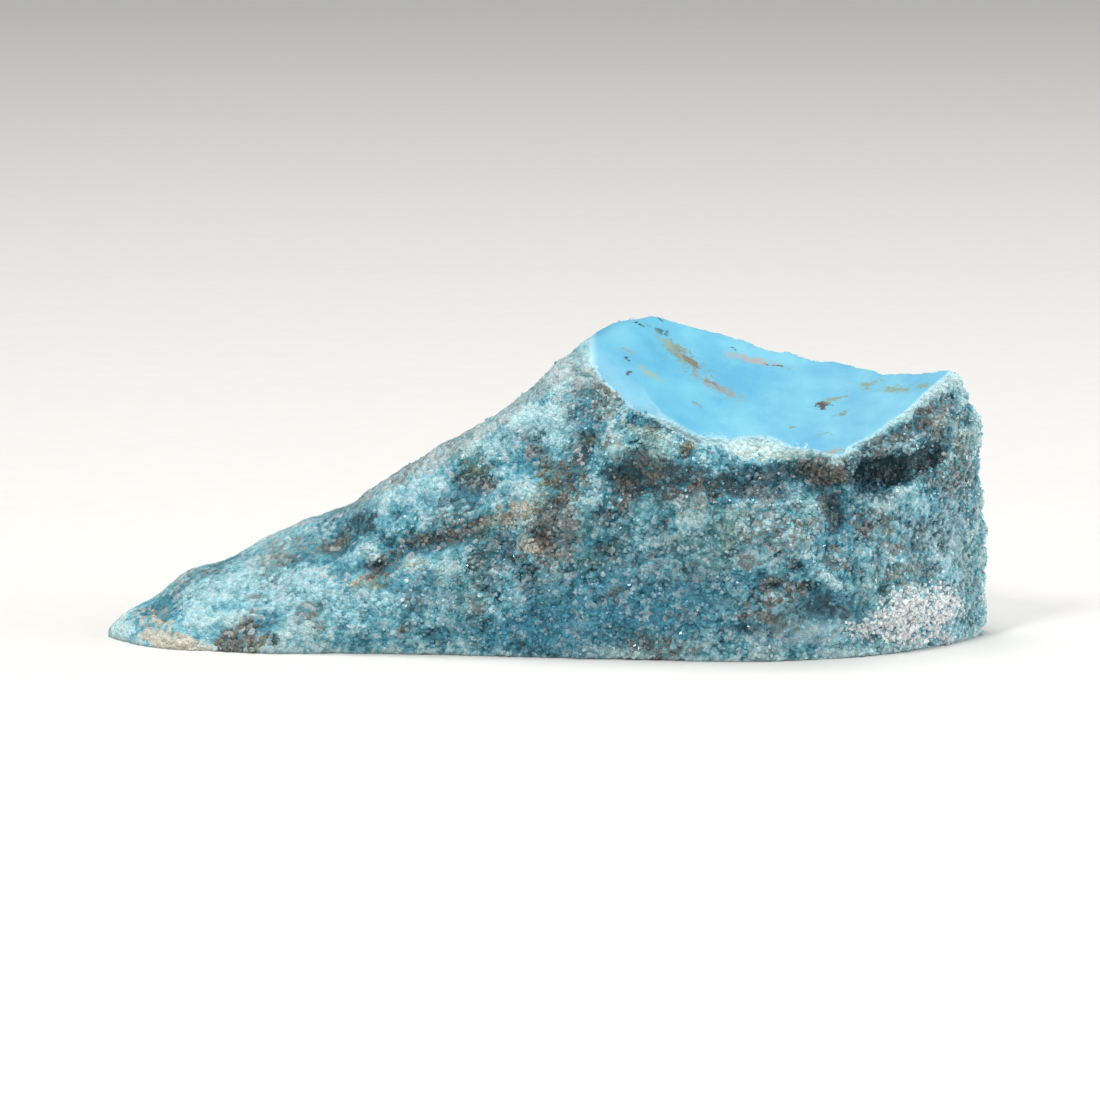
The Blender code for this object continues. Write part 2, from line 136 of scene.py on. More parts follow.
# Stains and clear spots of the skin, and the painted shade named deep, by their places on the board:
# across from the tip, up from the front edge's foot, half-width, half-height, strength, and the turn in
# degrees if there is one.
STAINS = {
    "crust": (
        (43.3, 15.1, 1.4, 0.9, 1, -25), (45.6, 14.9, 1.5, 1.1, 1, 15), (41.5, 15.9, 1.3, 0.5, 0.7, -20),
        (47.6, 14.3, 1.2, 0.4, 0.6, 5),
    ),
    "brown": (
        (7, 6.4, 1.5, 0.5, 0.5, 20), (5.2, 5.6, 0.8, 0.5, 0.4, 30), (12.9, 7.7, 3.4, 0.9, 0.45, 14),
        (11.8, 7.1, 1.6, 0.6, 0.55, 10), (15.5, 8.3, 1.5, 0.3, 1, 12), (10.5, 4.6, 0.7, 0.3, 0.7, 10),
        (13.7, 3.4, 1, 0.8, 0.6, 40), (14.7, 2.5, 0.7, 0.5, 0.5), (3.5, 3.3, 1.2, 0.8, 0.45, 30),
        (26.2, 12.3, 0.9, 0.5, 0.9, 30), (29.3, 14.7, 1, 0.4, 0.9, 10), (30.2, 13.1, 1, 0.9, 0.6),
        (30.5, 9, 2, 2.6, 1, -20), (23.2, 9.7, 1.5, 0.8, 0.55, 30), (21.6, 8.6, 1.4, 0.5, 0.7, 10),
        (34.2, 17.9, 1.2, 1.4, 0.6, -30), (32.2, 13.9, 0.5, 0.5, 1), (29.1, 14.8, 0.5, 0.3, 0.8),
        (35.4, 12, 0.9, 1.3, 0.65), (37.4, 12.8, 0.8, 0.7, 0.6), (39.6, 14.9, 0.4, 0.5, 0.7),
        (36.6, 13.9, 0.7, 0.5, 0.55), (48.7, 13.3, 1.9, 0.9, 0.9, -10), (40.4, 12.3, 0.7, 0.5, 0.6),
        (56.8, 16.8, 1.5, 1.4, 0.7, 40), (53.8, 15.3, 1.8, 0.6, 0.5, 28), (57.4, 12.6, 1.6, 0.8, 0.5),
        (58.2, 15.3, 0.8, 2, 0.5), (51.8, 9.1, 0.6, 0.5, 1), (53.6, 8, 0.5, 0.5, 0.8),
        (53, 9.9, 0.5, 0.4, 0.5), (45.3, 5.4, 0.7, 0.4, 0.9, 20), (44.9, 3.3, 2.2, 0.4, 0.7, -10),
        (37.5, 1.2, 3, 0.8, 0.6, -5), (40.5, 11.2, 1.8, 1.1, 0.5), (45.6, 9.2, 3.3, 1.6, 0.4),
        (43.6, 7.1, 0.8, 0.5, 0.4), (54.5, 6.3, 2, 1, 0.45, 10), (50, 7, 1.1, 0.7, 0.5),
        (34.7, 4.7, 0.8, 0.5, 0.5), (24.1, 15.5, 1.2, 0.7, 0.4, 38), (20.5, 13.3, 1.6, 0.5, 0.4, 35),
        (16.7, 10.7, 1.4, 0.3, 0.35, 30), (39.8, 3.4, 1, 0.4, 0.4), (33, 9.9, 2, 0.7, 0.3),
        (24.9, 7.1, 1.2, 0.5, 0.35),
    ),
    "grey": (
        (23.3, 15.1, 3.8, 1.1, 0.9, 38), (20.1, 12.9, 2.7, 0.7, 0.6, 35), (32.5, 19.9, 1.1, 1.8, 0.8, 70),
        (34.3, 19.4, 1.1, 0.8, 0.5), (31.7, 18, 1.1, 1.4, 0.4), (58.9, 9.9, 1.1, 8.2, 0.35),
        (54.5, 9.9, 4.1, 4.8, 0.15), (45.6, 9.9, 4.1, 2.7, 0.3), (54.1, 4.4, 4.8, 2, 0.15),
        (28.3, 7.1, 4.1, 2.7, 0.3), (23.5, 5.1, 4.1, 2, 0.2), (9.9, 8.2, 2.7, 0.7, 0.35, 25),
        (15.4, 9.9, 2.7, 0.7, 0.3, 28), (39.2, 7.1, 4.8, 2.7, 0.25), (44.6, 1.7, 6.1, 1, 0.3),
        (18.8, 12.2, 2.8, 0.5, 0.9, 30), (23.4, 14.8, 2.6, 0.5, 0.9, 29), (27.2, 17, 2.4, 0.6, 0.9, 38),
        (30, 19.4, 1.8, 0.7, 0.9, 40), (14, 9.9, 2.4, 0.3, 0.6, 25),
    ),
    "cream": (
        (4.9, 1.6, 2.7, 0.7, 1, -10), (3.8, 2.7, 1.1, 0.6, 0.5), (29.2, 8, 0.7, 0.5, 0.75, -30),
        (17.8, 5.8, 1.2, 0.5, 0.45, 10), (27.3, 10.3, 2, 0.6, 0.5, 18), (2.9, 3.3, 0.8, 0.7, 0.5, 40),
        (15.4, 6.1, 1.6, 0.5, 0.3), (25.6, 8.5, 1.4, 0.5, 0.2), (48, 13.7, 1, 0.4, 0.5),
        (49.5, 12.9, 0.5, 0.4, 0.6, -30),
    ),
    "olive": (
        (10.1, 1.2, 1, 0.5, 0.9, 30), (4.5, 0.7, 2.3, 0.3, 0.9, -8), (18.2, 5.6, 1.4, 0.5, 0.8, 15),
        (27.3, 10.1, 2.4, 0.8, 0.8, 18), (30.2, 12.9, 1.1, 1.1, 0.5), (39.6, 14.9, 0.5, 0.5, 0.7),
        (33.7, 15.3, 1.4, 0.8, 0.3), (53.6, 9, 0.4, 0.4, 0.8), (36.4, 16, 2, 0.5, 0.4, -20),
        (14.6, 1.7, 0.8, 0.4, 0.5), (20.8, 7.1, 1, 0.7, 0.3), (25.2, 12.9, 1.6, 1.1, 0.3),
        (25.6, 4.4, 1, 0.7, 0.2),
    ),
    "soot": (
        (48.8, 13.1, 1.8, 0.8, 0.75, -10), (35.3, 12.4, 0.8, 1, 0.35, 20), (37.2, 12.6, 0.8, 0.5, 0.3),
        (9.2, 2, 2, 1, 1, 32), (18.9, 6.7, 1.6, 0.9, 0.5, 30), (30.1, 8.3, 0.5, 0.6, 1, -20),
        (22.2, 8.6, 1, 0.3, 0.7, 10), (20.5, 2.6, 0.5, 0.3, 0.8), (49.8, 8, 0.3, 0.3, 1),
        (49.7, 13.3, 0.7, 0.4, 0.5), (15.6, 8, 1, 0.2, 0.8, 8), (51.5, 9, 0.3, 0.3, 0.5),
        (35.1, 10.9, 0.5, 0.8, 0.4), (0.1, 2.2, 0.3, 0.3, 0.8), (16.4, 8.8, 0.3, 0.3, 0.6),
        (38.2, 12.5, 4.2, 1.4, 0.2), (31.6, 12.4, 1.6, 1.6, 0.4), (24.6, 9.2, 3, 0.8, 0.4, 20),
        (52, 9.4, 1.6, 1.4, 0.4), (45.8, 5, 2.4, 1, 0.45, 10), (57.2, 13.2, 1.6, 2.4, 0.25),
        (49.8, 11.6, 1.2, 1.8, 0.2),
    ),
    "chalk": (
        (54.9, 3.4, 3.2, 1.1, 0.8, 14), (53.2, 2.5, 2.6, 0.8, 0.65), (57, 3.9, 1.6, 1.2, 0.6, 20),
        (55.4, 2, 2.4, 0.6, 0.5), (55.4, 4.9, 2.4, 0.6, 0.4, 20), (53.2, 4, 1.4, 0.7, 0.45, 30),
    ),
    "blue": (
        (36.5, 4.2, 6, 2.6, 0.9), (30, 2.2, 4.6, 1.8, 1), (38.6, 16.3, 3.2, 0.9, 0.8, -18),
        (31, 4.6, 3, 1.6, 0.6), (51.8, 12, 2.2, 1, 0.7, -8), (43, 5.6, 3, 1.2, 0.5),
        (24.5, 3.2, 1.8, 1.4, 0.5), (10.6, 2, 1, 0.8, 0.7), (17.6, 10.4, 1.6, 0.8, 0.6, 20),
        (32.6, 17, 1, 1.6, 0.6, 20), (46, 12, 3, 0.8, 0.5), (23.4, 11.4, 2, 1, 0.6, 20),
        (46.8, 1.4, 3, 0.8, 0.4), (49.2, 4, 2.2, 1.3, 0.9, -8), (22.6, 4.8, 3, 1.6, 0.5),
        (49.6, 10.2, 1.3, 2.2, 0.9, 10),
    ),
    # painted shade: near-black teal laid in the hollow under the rim, under the chips and in other hollows,
    # and a weaker shade low on the front
    "deep": (
        (37.3, 12.9, 3.4, 1.3, 0.95), (42, 12.6, 1.6, 0.6, 0.9, -6), (44, 12.9, 3.4, 0.8, 0.4),
        (38.5, 12.4, 3.6, 1, 0.9), (50, 13, 2.4, 0.8, 0.9), (52.6, 15, 1.6, 0.5, 0.8, 25),
        (55.2, 16.5, 1.7, 0.6, 0.8, 38), (45.5, 3, 3.5, 1.2, 0.35), (56, 14.4, 2.2, 1, 0.6, 30),
        (53.3, 13.5, 3.1, 1.2, 1, -4), (51.5, 13.9, 1.6, 0.7, 0.8), (49.4, 10.5, 0.6, 1.6, 1, 10),
        (48.7, 4.3, 0.9, 0.8, 0.8, 30), (49.9, 3.7, 0.9, 0.5, 0.7, -8), (44.3, 11.9, 2.6, 0.8, 0.9, -8),
        (40.5, 12.7, 1.9, 0.8, 0.6), (17.8, 9.8, 0.9, 0.9, 0.9, 20), (31, 12.6, 1.4, 1.1, 0.5),
        (38.9, 16.1, 3, 0.7, 0.7, -16), (36.4, 13.9, 1.4, 1.6, 0.45), (29.4, 1, 2, 0.5, 0.5),
        (26.9, 7.8, 1.4, 1.4, 0.4), (20.8, 4.4, 1.1, 1.2, 0.35), (24.9, 3.4, 1, 1, 0.4),
        (33, 18.7, 0.5, 2, 0.5, 60), (52.1, 11.8, 1.5, 0.8, 0.6, -10), (54.5, 8.2, 1.4, 0.8, 0.3),
        (46.6, 4.4, 1.6, 1, 0.4), (43.2, 4.4, 2, 0.7, 0.3), (23.9, 11.2, 1.5, 0.7, 0.4, 20),
        (11.2, 1.6, 0.7, 0.5, 0.6), (39.8, 5.8, 1.6, 0.8, 0.3), (33.7, 15.3, 1.1, 0.8, 0.4),
    ),
    "pale": (
        (29.4, 16.7, 2.3, 1.2, 0.8, 20), (26.9, 15, 1.6, 0.8, 0.6, 35), (44.7, 7.1, 2, 0.9, 0.6),
        (48.7, 2.1, 2, 0.7, 0.8), (8.6, 5.8, 4.1, 1.1, 0.7, 28), (13.3, 8.5, 3.4, 0.7, 0.5, 28),
        (18.8, 11.2, 2.7, 1, 0.5, 30), (12.6, 5.1, 4.1, 1.6, 0.6, 10), (6.5, 4.4, 2, 1.4, 0.6, 30),
        (16.7, 4.4, 3.4, 1.6, 0.4), (36.4, 9.2, 2.7, 1.1, 0.35), (31, 16, 2, 1.4, 0.6),
        (22.2, 12.6, 2, 1.1, 0.4, 35), (48, 3, 3.4, 2, 0.6), (54.5, 8.5, 3.5, 3, 0.4),
        (57.6, 7, 1.8, 6, 0.5), (1.8, 2.7, 1.4, 0.5, 0.6, 30), (40.5, 8.2, 2.7, 0.8, 0.3),
    ),
}
# Stains of the unseen back, where the same veins run through: kind, strength, how they follow the
# three clouds, and the cloud's values from none to full.
BACK_STAINS = (
    ("brown", 0.6, (1, 0, 0), (0.42, 0.75)), ("grey", 0.5, (0, 1, 0), (0.1, 0.6)),
    # deep lays the same dark teal as the front's painted shade, here by the clouds alone
    ("pale", 0.6, (0, 0, 1), (0.05, 0.5)), ("deep", 0.5, (0, 0, -1), (0.35, 0.7)),
    ("olive", 0.5, (-1, -0.3, 0), (0.5, 0.8)), ("blue", 0.8, (0, 1, -1), (0.25, 0.8)),
    ("cream", 0.4, (0, -1, 0), (0.5, 0.8)),
)
# Swirls that bend the stains' outlines, and those of the back's clouds: width in millimetres, seed, reach.
STAIN_SWIRLS = ((1.6, 1, 0.45), (0.55, 2, 0.22))
BACK_SWIRLS = ((4.6, 3, 1.0), (1.5, 4, 0.7))

# Gentle swellings of the whole stone, ground or not, and the small relief that only the broken skin has:
# (centre from the tip, the front and the flat), reach, rise, in millimetres.
SWELLINGS = (
    ((35.3, 11.2, 20.9), 2.2, 0.32), ((31.2, 7.8, 18.9), 2.4, 0.33),
    ((59.8, 10.1, 5.2), 2.6, 0.42), ((10.6, 11.6, 5.9), 2.0, -0.38),
)
DIMPLES = (
    ((49.9, 0.6, 7.9), 0.45, -0.55), ((30.0, 2.4, 8.1), 0.7, -0.5), ((29.1, 1.9, 7.9), 0.55, 0.3),
    ((18.6, 6.4, 6.1), 1.2, 0.9), ((19.7, 4.9, 6.8), 0.7, -0.4), ((17.2, 5.0, 6.6), 0.6, -0.3),
    ((17.6, 4.6, 5.1), 0.5, 0.25), ((20.4, 3.6, 2.5), 0.5, -0.35), ((49.4, 1.0, 13.1), 0.9, 0.45),
    ((51.6, 2.6, 9.2), 0.5, -0.3), ((45.2, 0.6, 5.6), 0.5, -0.3),
)


def from_tip(x, y, z):
    """Turns millimetres from the tip, the foremost edge and the flat into a place in metres."""
    return Vector((x - LENGTH / 2, y - DEPTH / 2, z)) * MM


def to_tip(points):
    """Turns places in metres into millimetres from the tip, the foremost edge and the flat."""
    return points / MM + CORNER


def colour(code):
    """Turns an sRGB hex colour into a linear one, with nothing let through."""
    channels = [int(code[i:i + 2], 16) / 255 for i in (1, 3, 5)]
    return (*(c / 12.92 if c <= 0.04045 else ((c + 0.055) / 1.055) ** 2.4 for c in channels), 1.0)


def over_mm(width):
    """A texture's scale, from the width of its pattern in millimetres."""
    return 1.0 / (width * MM)


def soft_step(value, low, high):
    """0 below low, 1 above high, smooth between; low may be the larger."""
    t = np.clip((value - low) / (high - low), 0.0, 1.0)
    return t * t * (3 - 2 * t)


def fade(value, name):
    """The soft step that FADES gives under a name."""
    return soft_step(value, *FADES[name])


def put(tree, kind, feeds=None, **settings):
    """Adds one node to a tree: feeds gives its inputs' values, or the nodes or sockets linked to them."""
    node = tree.nodes.new(kind)
    for name, value in settings.items():
        setattr(node, name, value)
    for key, value in (feeds or {}).items():
        if isinstance(value, bpy.types.Node):
            value = next(socket for socket in value.outputs if socket.enabled)
        if isinstance(value, bpy.types.NodeSocket):
            tree.links.new(value, node.inputs[key])
        else:
            node.inputs[key].default_value = value
    return node


def new_group(name, kind, inputs, outputs):
    """An empty node group with named inputs and outputs, and what adds its nodes."""
    tree = bpy.data.node_groups.new(name, kind)
    for way, sockets in (("INPUT", inputs), ("OUTPUT", outputs)):
        for label, socket in sockets.items():
            tree.interface.new_socket(name=label, in_out=way, socket_type="NodeSocket" + socket)
    return tree, partial(put, tree)


def new_finish(name):
    """A material with an empty tree, and what adds its nodes."""
    material = bpy.data.materials.new(name)
    material.use_nodes = True
    material.node_tree.nodes.clear()
    return material, partial(put, material.node_tree)


# ---------------------------------------------------------------- meshes and their numbers


def mesh_points(mesh):
    """The mesh's vertices as an array, in metres."""
    points = np.empty(len(mesh.vertices) * 3)
    mesh.vertices.foreach_get("co", points)
    return points.reshape(-1, 3)


def set_points(mesh, points):
    """Moves the mesh's vertices to the given places."""
    mesh.vertices.foreach_set("co", points.astype(np.float32).ravel())
    mesh.update()


def stand_on_flat(mesh):
    """Brings whatever has sunk below the flat up to it."""
    points = mesh_points(mesh)
    points[:, 2] = np.maximum(points[:, 2], 0.0)
    set_points(mesh, points)


def mesh_normals(mesh):
    """The mesh's vertex normals as an array."""
    normals = np.empty(len(mesh.vertices) * 3, dtype=np.float32)
    mesh.vertex_normals.foreach_get("vector", normals)
    return normals.reshape(-1, 3).astype(float)


def keep(mesh, name, values):
    """Stores one number for each vertex under a name."""
    layer = mesh.attributes.get(name) or mesh.attributes.new(name, "FLOAT", "POINT")
    layer.data.foreach_set("value", np.asarray(values, dtype=np.float32))


def kept(mesh, name):
    """The numbers stored for the vertices under a name."""
    values = np.empty(len(mesh.vertices), dtype=np.float32)
    mesh.attributes[name].data.foreach_get("value", values)
    return values


def neighbours_mean(points, edges, count):
    """For each vertex, the mean of its neighbours' values."""
    total = np.zeros_like(points)
    np.add.at(total, edges[:, 0], points[edges[:, 1]])
    np.add.at(total, edges[:, 1], points[edges[:, 0]])
    return total / count


def made_plain(piece):
    """The evaluated piece as a plain mesh without modifiers."""
    bpy.context.view_layer.update()
    seen = piece.evaluated_get(bpy.context.evaluated_depsgraph_get())
    return bpy.data.meshes.new_from_object(seen)


def run_tree(mesh, name, tree, values):
    """Runs a node tree on a mesh and gives the result as a new plain object."""
    rough = bpy.data.objects.new(name + "_rough", mesh)
    bpy.context.scene.collection.objects.link(rough)
    worker = rough.modifiers.new(name, "NODES")
    worker.node_group = tree
    for socket in tree.interface.items_tree:
        if socket.item_type == "SOCKET" and socket.in_out == "INPUT" and socket.name in values:
            worker[socket.identifier] = values[socket.name]
    plain = made_plain(rough)
    plain.name = name
    bpy.data.objects.remove(rough)
    piece = bpy.data.objects.new(name, plain)
    bpy.context.scene.collection.objects.link(piece)
    return piece


# ---------------------------------------------------------------- the fine stone


def drum_axis():
    """A point of the ground face's drum axis and the axis's direction."""
    along = Vector((0.0, math.cos(DRUM_LEAN), math.sin(DRUM_LEAN)))
    up = Vector((0.0, -math.sin(DRUM_LEAN), math.cos(DRUM_LEAN)))
    return from_tip(*DRUM_LOWEST) + up * DRUM_RADIUS * MM, along


def off_drum(points):
    """Each point's distance outside the drum's surface, in millimetres, and its direction from the axis."""
    middle, along = (np.array(v) for v in drum_axis())
    arm = points - middle
    arm -= np.outer(arm @ along, along)
    reach = np.linalg.norm(arm, axis=1)
    return reach / MM - DRUM_RADIUS, arm / reach[:, None]


def dressed_copy(node, grain):
    """A closed, even mesh over the CAD node's shape, with quads of about the given width in metres."""
    mesh = node.data.copy()
    loose = bmesh.new()
    loose.from_mesh(mesh)
    bmesh.ops.remove_doubles(loose, verts=loose.verts, dist=1e-7)
    loose.to_mesh(mesh)
    loose.free()
    blank = bpy.data.objects.new("blank", mesh)
    bpy.context.scene.collection.objects.link(blank)
    even = blank.modifiers.new("even quads", "REMESH")
    even.mode = "VOXEL"
    even.voxel_size = grain
    plain = made_plain(blank)
    bpy.data.objects.remove(blank)
    bpy.data.meshes.remove(mesh)
    plain.materials.clear()
    return plain


def smooth_skin(mesh, rounds):
    """Rounds the skin's facets off, and lays the ground face exactly on its drum."""
    points = mesh_points(mesh)
    edges = np.empty(len(mesh.edges) * 2, dtype=np.int64)
    mesh.edges.foreach_get("vertices", edges)
    edges = edges.reshape(-1, 2)
    count = np.bincount(edges.ravel(), minlength=len(points)).astype(float)[:, None]
    off, _ = off_drum(points)
    ground = (np.abs(off) < NEAR_DRUM) & (points[:, 2] > FACE_ABOVE * MM)
    flat = points[:, 2] < FLAT_BELOW * MM
    free = ~(ground | flat)
    for _ in range(rounds):
        mean = neighbours_mean(points, edges, count)
        points[free] += EASE * (mean[free] - points[free])
    across = points[:, 0] / MM + LENGTH / 2
    held = soft_step(across, *ROLL_ENDS) * ground
    easy = ((1 - soft_step(across, *ROLL_ENDS)) * (points[:, 2] > ROLL_ABOVE * MM))[:, None]
    for _ in range(ROLL_ROUNDS):
        points += EASE * easy * (neighbours_mean(points, edges, count) - points)
    for _ in range(FACE_ROUNDS):
        mean = neighbours_mean(points, edges, count)
        points[ground] += EASE * (mean[ground] - points[ground])
        off, outward = off_drum(points)
        points -= outward * (off * held)[:, None] * MM
    points[flat, 2] = 0.0
    set_points(mesh, points)
    return edges, count


def lift(points, normals, rows, share=1.0):
    """Raises the surface at each row's centre, or sinks it, along its normals."""
    place = to_tip(points)
    for centre, reach, rise in rows:
        gap = np.linalg.norm(place - np.array(centre), axis=1) / reach
        points += normals * (np.exp(-gap * gap * 2) * rise * share)[:, None] * MM


def on_board(points):
    """Where each point is seen on the drawing board: across and up, in millimetres."""
    arm = points - (np.array(from_tip(*VIEW_AIM)) - VIEW_AHEAD * VIEW_DISTANCE)
    shrink = VIEW_DISTANCE / (arm @ VIEW_AHEAD) / MM
    return arm[:, 0] * shrink + BOARD_CENTRE[0], (arm @ VIEW_UP) * shrink + BOARD_CENTRE[1]


def wander(points, swirls):
    """A smooth random vector for each point: the sum of swirls of some widths, seeds and reaches."""
    total = np.zeros((len(points), 3))
    for width, seed, reach in swirls:
        noise.seed_set(seed)
        shift = Vector((seed * 7.31, seed * 3.17, seed * 1.73))
        total += reach * np.array([noise.noise_vector(Vector(p) / (width * MM) + shift) for p in points])
    return total


def stain_masks(points, normals):
    """The strength of each kind of stain, and of the painted shade deep, at each point."""
    across, up = on_board(points + wander(points, STAIN_SWIRLS) * MM)
    front = fade(-(normals @ VIEW_AHEAD), "front")
    back = 1 - front
    clouds = wander(points, BACK_SWIRLS)
    masks = {}
    for kind, rows in STAINS.items():
        mask = np.zeros(len(points))
        for a, b, wide, high, strength, *turned in rows:
            turn = math.radians(sum(turned))
            u = ((across - a) * math.cos(turn) + (up - b) * math.sin(turn)) / wide
            v = (-(across - a) * math.sin(turn) + (up - b) * math.cos(turn)) / high
            mask = np.maximum(mask, strength * fade(np.hypot(u, v), "stain"))
        masks[kind] = mask * front
    for kind, strength, follows, ends in BACK_STAINS:
        masks[kind] += back * strength * soft_step((clouds * follows).sum(axis=1), *ends)
    return masks


def stone_masks(points, normals):
    """The stone's masks by their names, as a number for each point.

    They say where the skin is rough, where the face is ground and where its end is rolled, where its
    bruised rim runs, how strong each kind of stain is, and where shade is painted under the name deep.
    """
    off, outward = off_drum(points)
    place = to_tip(points)
    high = points[:, 2] > RIM_ABOVE * MM
    rolled = fade(normals[:, 2], "roll tilt") * fade(place[:, 0], "roll start")
    rolled *= fade(place[:, 2], "roll height") * fade(place[:, 0], "roll end")
    across, up = on_board(points)
    rolled *= fade(up - np.interp(across, *ROLL_FOOT), "roll foot")
    rolled *= fade(normals[:, 1], "roll back")
    facing = fade(-(normals * outward).sum(axis=1), "ground facing")
    ground = np.maximum(facing * (high & (np.abs(off) < FACE_WITHIN)), rolled)
    stains = stain_masks(points, normals)
    clear = fade(np.abs(np.where(high, off, FAR_OFF)), "skin off the face")
    skin = clear * (1 - rolled) * fade(points[:, 2] / MM, "skin off the flat")
    skin *= ((1 - CRUST_CALM * stains["crust"]) * (1 - PALE_CALM * stains["pale"])
             * fade(place[:, 0], "skin from the tip"))
    skin *= 1 - SLOPE_CALM * fade(normals[:, 2], "slope tilt") * fade(place[:, 0], "slope end")
    rim = fade(np.abs(off), "rim") * high * (normals[:, 2] < RIM_TILT)
    return {"skin": skin, "ground": ground, "rolled": rolled, "rim": rim,
            **{kind: np.clip(mask, 0, 1) for kind, mask in stains.items()}}


RELIEF_SIZES = ("Lump width", "Lump height", "Grain width", "Grain height", "Pit width", "Pit depth")


def relief_tree():
    """Node tree for the skin's fine relief: soft lumps, grains and pits, along the normals."""
    tree, add = new_group(
        "fine relief", "GeometryNodeTree",
        {"Geometry": "Geometry", **dict.fromkeys(RELIEF_SIZES, "Float"), "Finish": "Material"},
        {"Geometry": "Geometry"})
    given = add("NodeGroupInput").outputs
    place = add("GeometryNodeInputPosition")
    skin = add("GeometryNodeInputNamedAttribute", {"Name": "skin"})
    pattern = {}
    for label, kind in (("Lump", NOISE), ("Grain", CELLS), ("Pit", CELLS)):
        scale = add(MATH, {0: 1.0, 1: given[label + " width"]}, operation="DIVIDE")
        pattern[label] = add(kind, {"Vector": place, "Scale": scale})
    pattern["Lump"].inputs["Roughness"].default_value = 0.6
    # lumps and grains are stretched and shifted so that they stand evenly about the surface
    height = {}
    for label, stretch, shift in (("Lump", 2.0, -1.0), ("Grain", -2.0, 0.84)):
        even = add(MATH, {0: pattern[label], 1: stretch, 2: shift}, operation="MULTIPLY_ADD")
        height[label] = add(MATH, {0: even, 1: given[label + " height"]}, operation="MULTIPLY")
    # only some of the pits are open, and those to depths of their own
    hollow = add(RANGE, {"Value": pattern["Pit"], "From Min": 0.34, "From Max": 0.10}, **SMOOTH)
    chosen = add("FunctionNodeSeparateColor", {0: pattern["Pit"].outputs["Color"]})
    chosen = add(RANGE, {"Value": chosen, "From Min": 0.45, "From Max": 0.9})
    depth = add(MATH, {0: hollow, 1: chosen}, operation="MULTIPLY")
    depth = add(MATH, {0: depth, 1: given["Pit depth"]}, operation="MULTIPLY")
    rise = add(MATH, {0: height["Lump"], 1: height["Grain"]}, operation="ADD")
    rise = add(MATH, {0: rise, 1: depth}, operation="SUBTRACT")
    rise = add(MATH, {0: rise, 1: skin}, operation="MULTIPLY")
    offset = add(VECTOR, {0: add("GeometryNodeInputNormal"), "Scale": rise}, operation="SCALE")
    moved = add("GeometryNodeSetPosition", {"Geometry": given["Geometry"], "Offset": offset})
    marked = add("GeometryNodeStoreNamedAttribute", {"Geometry": moved, "Name": "rise", "Value": rise})
    real = add("GeometryNodeRealizeInstances", {"Geometry": marked})
    done = add("GeometryNodeSetMaterial", {"Geometry": real, "Material": given["Finish"]})
    add("NodeGroupOutput", {"Geometry": done})
    return tree


# The stone's six charts on its bake map, which is CHART_SPAN millimetres wide and high: the side that
# faces along this axis and way, the two axes laid out, and the chart's corner on the map.
CHARTS = (
    (1, -1, (0, 2), (0.5, 0.5)), (1, 1, (0, 2), (0.5, 23.0)), (2, 1, (0, 1), (0.5, 45.5)),
    (2, -1, (0, 1), (0.5, 66.0)), (0, -1, (1, 2), (62.0, 0.5)), (0, 1, (1, 2), (62.0, 23.0)),
)
CHART_SPAN = 86.5


def lay_out_stone(mesh, broad):
    """Lays the stone's faces out on its bake map by the way the stone's general shape faces."""
    corners = np.empty(len(mesh.loops), dtype=np.int64)
    mesh.loops.foreach_get("vertex_index", corners)
    quads = corners.reshape(-1, 4)
    facing = np.cross(broad[quads[:, 2]] - broad[quads[:, 0]], broad[quads[:, 3]] - broad[quads[:, 1]])
    axis = np.abs(facing).argmax(axis=1)
    way = np.sign(facing[np.arange(len(quads)), axis])
    place = to_tip(mesh_points(mesh)[corners])
    spots = np.zeros((len(corners), 2))
    for side, sign, laid, corner in CHARTS:
        own = np.repeat((axis == side) & (way == sign), 4)
        spots[own] = place[own][:, laid] + np.array(corner)
    mesh.uv_layers.new(name="OFBake").data.foreach_set("uv", (spots / CHART_SPAN).ravel())


# ---------------------------------------------------------------- the crystal grains

# Each kind of grain: piece, finish, own colour, share of it, roughness, grains to a square metre, what
# each stain and the painted shade deep add to or take from its cover, and its cover elsewhere.
GRAINS = (
    ("blue_grains", "glassy turquoise grains", "#82C8DA", (0.0, 0.35), (0.10, 0.4), 7.0e6,
     {"pale": -0.5, "brown": -0.5, "chalk": -0.8, "soot": -0.7, "deep": -0.6, "crust": -0.9}, 1.0),
    ("milky_grains", "milky quartz grains", "#BCD8DE", (0.0, 0.6), (0.08, 0.35), 5.0e6,
     {"pale": -0.6, "grey": 0.5, "soot": -0.2, "deep": -0.75, "blue": -0.5, "chalk": -0.4,
      "crust": -0.6}, 0.75),
    ("brown_grains", "smoky brown grains", "#84827B", (0.1, 0.8), (0.12, 0.5), 8.0e6,
     {"brown": 1.3, "grey": 0.25, "soot": 1.4, "deep": -0.6, "olive": 0.4, "crust": -0.5}, 0.05),
    ("chalk_flakes", "white chalky flakes", "#F4F7F7", (0.6, 1.0), (0.3, 0.7), 3.2e7,
     {"chalk": 1.0}, 0.0),
)
MOST_COVER = 1.5
CREST_COVER = 0.5  # how much closer the grains stand on a full crest
GRAIN_CHIP = 0.26  # how far a block's corners are moved, in shares of its width
FACES, CORNERS = 6, 4  # of one grain
UV_EDGE = 0.08  # the gap round each face on the bake map, in shares of the face's place


